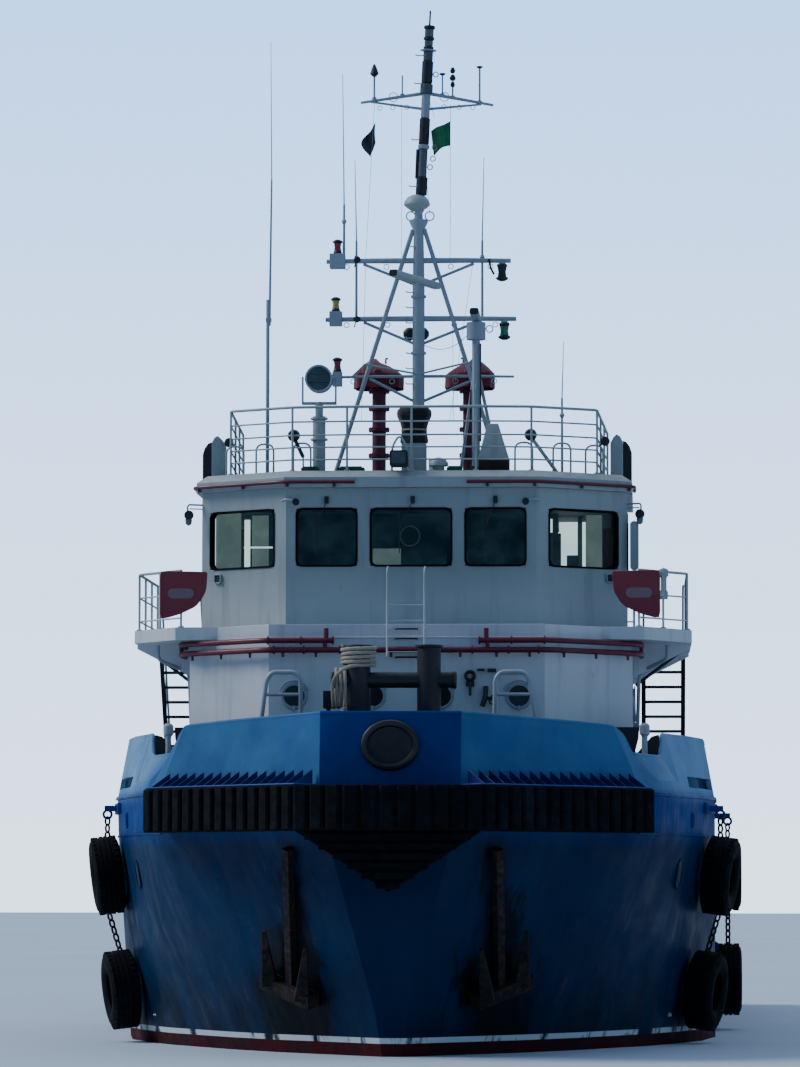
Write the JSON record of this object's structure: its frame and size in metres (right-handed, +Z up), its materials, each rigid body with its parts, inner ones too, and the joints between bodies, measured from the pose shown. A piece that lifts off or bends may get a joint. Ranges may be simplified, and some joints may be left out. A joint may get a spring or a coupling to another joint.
{
  "type": "anchor handling tug",
  "caption": "Anchor-handling tug with a faceted bow and fender, wheelhouse forward, mast with yards, fire monitors, open working deck aft, ducted propellers and rudders.",
  "frame": {"origin": "on the centreline at the waterline, amidships", "axes": "+Y towards the stern, +X to port, +Z up"},
  "size_m": [11.504, 35.955, 21.4028],
  "materials": {
    "hull_paint": "semi-gloss blue, weathered",
    "house_paint": "semi-gloss white with rust streaks",
    "mast_paint": "light grey satin",
    "deck_paint": "matt green non-slip",
    "red_paint": "satin dark red",
    "black_paint": "satin black",
    "winch_paint": "satin blue, chipped",
    "fender_rubber": "matt, scuffed",
    "anchor_iron": "rusty black",
    "worn_steel": "worn, lightly rusted",
    "bronze": "dull bronze",
    "deck_timber": "bare worn planks",
    "window_glass": "slightly tinted",
    "console_plastic": "matt grey",
    "orange_moulding": "gloss orange"
  },
  "bodies": {
    "ship": {"hull": "hull_paint", "fore_bulwark": "hull_paint", "aft_bulwark_port": "hull_paint", "aft_bulwark_starboard": "hull_paint", "nozzle_port": "hull_paint", "nozzle_starboard": "hull_paint", "funnels": "hull_paint", "bow_fender": "fender_rubber", "tyre_fenders_port": "fender_rubber", "tyre_fenders_starboard": "fender_rubber", "bow_bitt": "black_paint", "compass": "black_paint", "anchor_port": "anchor_iron", "anchor_starboard": "anchor_iron", "windlass_frame": "house_paint", "deckhouse_walls": "house_paint", "bridge_deck": "house_paint", "bridge_rail": "house_paint", "break_rail": "house_paint", "wing_rail_port": "house_paint", "wing_rail_starboard": "house_paint", "wheelhouse_walls": "house_paint", "wheelhouse_roof": "house_paint", "roof_rail": "house_paint", "front_ladder": "house_paint", "side_stairs_port": "house_paint", "side_stairs_starboard": "house_paint", "life_rafts": "house_paint", "wheelhouse_glass_front": "window_glass", "wheelhouse_glass_aft": "window_glass", "helm_console": "console_plastic", "mast": "mast_paint", "radar_post": "mast_paint", "spray_pipes": "red_paint", "monitor_risers": "red_paint", "rescue_boat": "orange_moulding", "deck_sheathing": "deck_timber", "tow_winch_frame": "winch_paint", "tow_pins": "worn_steel"},
    "windlass_drum": {"windlass_drum": "black_paint"},
    "tow_winch_drum": {"tow_winch_drum": "worn_steel"},
    "stern_roller": {"stern_roller": "worn_steel"},
    "capstan_port": {"capstan_port": "winch_paint"},
    "capstan_starboard": {"capstan_starboard": "winch_paint"},
    "main_scanner": {"main_scanner": "house_paint"},
    "second_scanner": {"second_scanner": "house_paint"},
    "searchlight_yoke": {"searchlight_yoke": "mast_paint"},
    "searchlight_lamp": {"searchlight_lamp": "mast_paint"},
    "monitor_head_port": {"monitor_head_port": "red_paint"},
    "monitor_head_starboard": {"monitor_head_starboard": "red_paint"},
    "deckhouse_door": {"deckhouse_door": "house_paint"},
    "wheelhouse_door_port": {"wheelhouse_door_port": "house_paint"},
    "wheelhouse_door_starboard": {"wheelhouse_door_starboard": "house_paint"},
    "hatch_lid": {"hatch_lid": "deck_paint"},
    "davit": {"davit": "house_paint"},
    "propeller_port": {"propeller_port": "bronze"},
    "propeller_starboard": {"propeller_starboard": "bronze"},
    "rudder_port": {"rudder_port": "hull_paint"},
    "rudder_starboard": {"rudder_starboard": "hull_paint"}
  },
  "joints": [
    {"name": "windlass_drum_spin", "type": "hinge", "parent": "ship", "child": "windlass_drum", "pos_m": [0, -13.9, 4.95], "axis": [1, 0, 0], "continuous": true},
    {"name": "tow_winch_drum_spin", "type": "hinge", "parent": "ship", "child": "tow_winch_drum", "pos_m": [0, 3.7, 3.05], "axis": [1, 0, 0], "continuous": true},
    {"name": "stern_roller_spin", "type": "hinge", "parent": "ship", "child": "stern_roller", "pos_m": [0, 17.45, 1.35], "axis": [1, 0, 0], "continuous": true},
    {"name": "capstan_port_spin", "type": "hinge", "parent": "ship", "child": "capstan_port", "pos_m": [4.3, 14.6, 1.7], "axis": [0, 0, 1], "continuous": true},
    {"name": "capstan_starboard_spin", "type": "hinge", "parent": "ship", "child": "capstan_starboard", "pos_m": [-4.3, 14.6, 1.7], "axis": [0, 0, 1], "continuous": true},
    {"name": "main_scanner_spin", "type": "hinge", "parent": "ship", "child": "main_scanner", "pos_m": [0, -8.82, 13.15], "axis": [0, 0, 1], "continuous": true},
    {"name": "second_scanner_spin", "type": "hinge", "parent": "ship", "child": "second_scanner", "pos_m": [1.06, -9, 12.45], "axis": [0, 0, 1], "continuous": true},
    {"name": "searchlight_pan", "type": "hinge", "parent": "ship", "child": "searchlight_yoke", "pos_m": [-1.62, -9.5, 10.7], "axis": [0, 0, 1], "range_deg": [-170, 170]},
    {"name": "searchlight_tilt", "type": "hinge", "parent": "searchlight_yoke", "child": "searchlight_lamp", "pos_m": [-1.62, -9.5, 11.34], "axis": [1, 0, 0], "range_deg": [-25, 35]},
    {"name": "monitor_port_pan", "type": "hinge", "parent": "ship", "child": "monitor_head_port", "pos_m": [0.82, -5.3, 11.6], "axis": [0, 0, 1], "range_deg": [-170, 170]},
    {"name": "monitor_starboard_pan", "type": "hinge", "parent": "ship", "child": "monitor_head_starboard", "pos_m": [-0.82, -5.3, 11.6], "axis": [0, 0, 1], "range_deg": [-170, 170]},
    {"name": "deckhouse_door_hinge", "type": "hinge", "parent": "ship", "child": "deckhouse_door", "pos_m": [1.9, -0.9, 5.35], "axis": [0, 0, -1], "range_deg": [0, 110]},
    {"name": "wheelhouse_door_port_hinge", "type": "hinge", "parent": "ship", "child": "wheelhouse_door_port", "pos_m": [3.66, -7.9, 8.2], "axis": [0, 0, -1], "range_deg": [0, 100]},
    {"name": "wheelhouse_door_starboard_hinge", "type": "hinge", "parent": "ship", "child": "wheelhouse_door_starboard", "pos_m": [-3.66, -7.9, 8.2], "axis": [0, 0, 1], "range_deg": [0, 100]},
    {"name": "hatch_lid_hinge", "type": "hinge", "parent": "ship", "child": "hatch_lid", "pos_m": [-2.3, 5.42, 2.05], "axis": [1, 0, 0], "range_deg": [0, 100]},
    {"name": "davit_slew", "type": "hinge", "parent": "ship", "child": "davit", "pos_m": [-3.3, -1.2, 7], "axis": [0, 0, -1], "range_deg": [0, 110]},
    {"name": "propeller_port_spin", "type": "hinge", "parent": "ship", "child": "propeller_port", "pos_m": [2.35, 13.6, -2.15], "axis": [0, 1, 0], "continuous": true},
    {"name": "propeller_starboard_spin", "type": "hinge", "parent": "ship", "child": "propeller_starboard", "pos_m": [-2.35, 13.6, -2.15], "axis": [0, 1, 0], "continuous": true},
    {"name": "rudder_port_steer", "type": "hinge", "parent": "ship", "child": "rudder_port", "pos_m": [2.35, 15.35, -2.1], "axis": [0, 0, 1], "range_deg": [-35, 35]},
    {"name": "rudder_starboard_steer", "type": "hinge", "parent": "ship", "child": "rudder_starboard", "pos_m": [-2.35, 15.35, -2.1], "axis": [0, 0, 1], "range_deg": [-35, 35]}
  ],
  "couplings": [
    {"joint": "rudder_starboard_steer", "follows": "rudder_port_steer", "ratio": 1}
  ]
}
